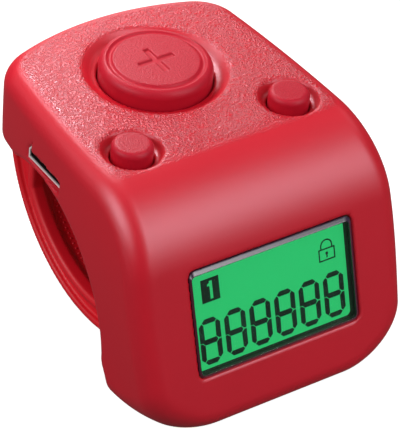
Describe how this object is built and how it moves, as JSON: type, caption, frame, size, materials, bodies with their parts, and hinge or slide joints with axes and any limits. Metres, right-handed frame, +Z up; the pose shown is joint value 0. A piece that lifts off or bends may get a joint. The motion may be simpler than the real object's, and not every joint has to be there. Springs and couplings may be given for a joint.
{
  "type": "digital tally counter",
  "caption": "Finger-worn digital tally counter with a sloping green display, a large round count key, small reset and lock keys, a charging socket and a soft closed finger loop.",
  "frame": {"origin": "middle of the footprint of the bounding box, on the plane that the foot and the loop rest on", "axes": "+X to the right seen from the display side, -Y towards the display side, +Z up through the keys"},
  "size_m": [0.0362, 0.0434, 0.0289],
  "materials": {
    "shell": "moulded red plastic with a soft sheen, fine grain on the flat top",
    "key": "brighter red plastic, satin",
    "strap": "red silicone, matt, dotted inner face",
    "lens": "clear moulded window with a polished bevel",
    "display_glass": "green backlit liquid crystal glass",
    "white_plastic": "white moulding",
    "guide": "clear light guide",
    "led": "light-emitting diodes",
    "contact_rubber": "striped conductive rubber",
    "circuit_board": "green solder mask",
    "black_epoxy": "black resin",
    "ribbon": "amber flexible circuit",
    "switch_plastic": "black moulding",
    "socket_steel": "folded bright steel",
    "battery_foil": "laminated foil pouch",
    "tape": "double-sided tape",
    "lead_insulation": "insulated wire",
    "screw_steel": "zinc-plated steel"
  },
  "bodies": {
    "housing": {"top_shell": "shell", "base_cover": "shell", "strap": "strap", "display_lens": "lens", "lcd_cell": "display_glass", "lcd_frame": "white_plastic", "light_guide": "guide", "backlight_leds": "led", "contact_strip": "contact_rubber", "display_board": "circuit_board", "controller_blob": "black_epoxy", "board_ribbon": "ribbon", "main_board": "circuit_board", "count_switch": "switch_plastic", "reset_switch": "switch_plastic", "lock_switch": "switch_plastic", "usb_socket": "socket_steel", "usb_tongue": "switch_plastic", "charge_parts": "black_epoxy", "battery_cell": "battery_foil", "battery_tape": "tape", "battery_leads": "lead_insulation", "base_screws": "screw_steel", "board_screws": "screw_steel"},
    "count_key": {"count_key": "key", "count_plunger": "switch_plastic"},
    "reset_key": {"reset_key": "key", "reset_plunger": "switch_plastic"},
    "lock_key": {"lock_key": "key", "lock_plunger": "switch_plastic"}
  },
  "joints": [
    {"name": "count_press", "type": "slide", "parent": "housing", "child": "count_key", "axis": [0, 0, -1], "range_m": [0, 0.0006], "stiffness_N_per_m": 2700},
    {"name": "reset_press", "type": "slide", "parent": "housing", "child": "reset_key", "axis": [0, 0, -1], "range_m": [0, 0.00035], "stiffness_N_per_m": 4200},
    {"name": "lock_press", "type": "slide", "parent": "housing", "child": "lock_key", "axis": [0, 0, -1], "range_m": [0, 0.00035], "stiffness_N_per_m": 4200}
  ]
}
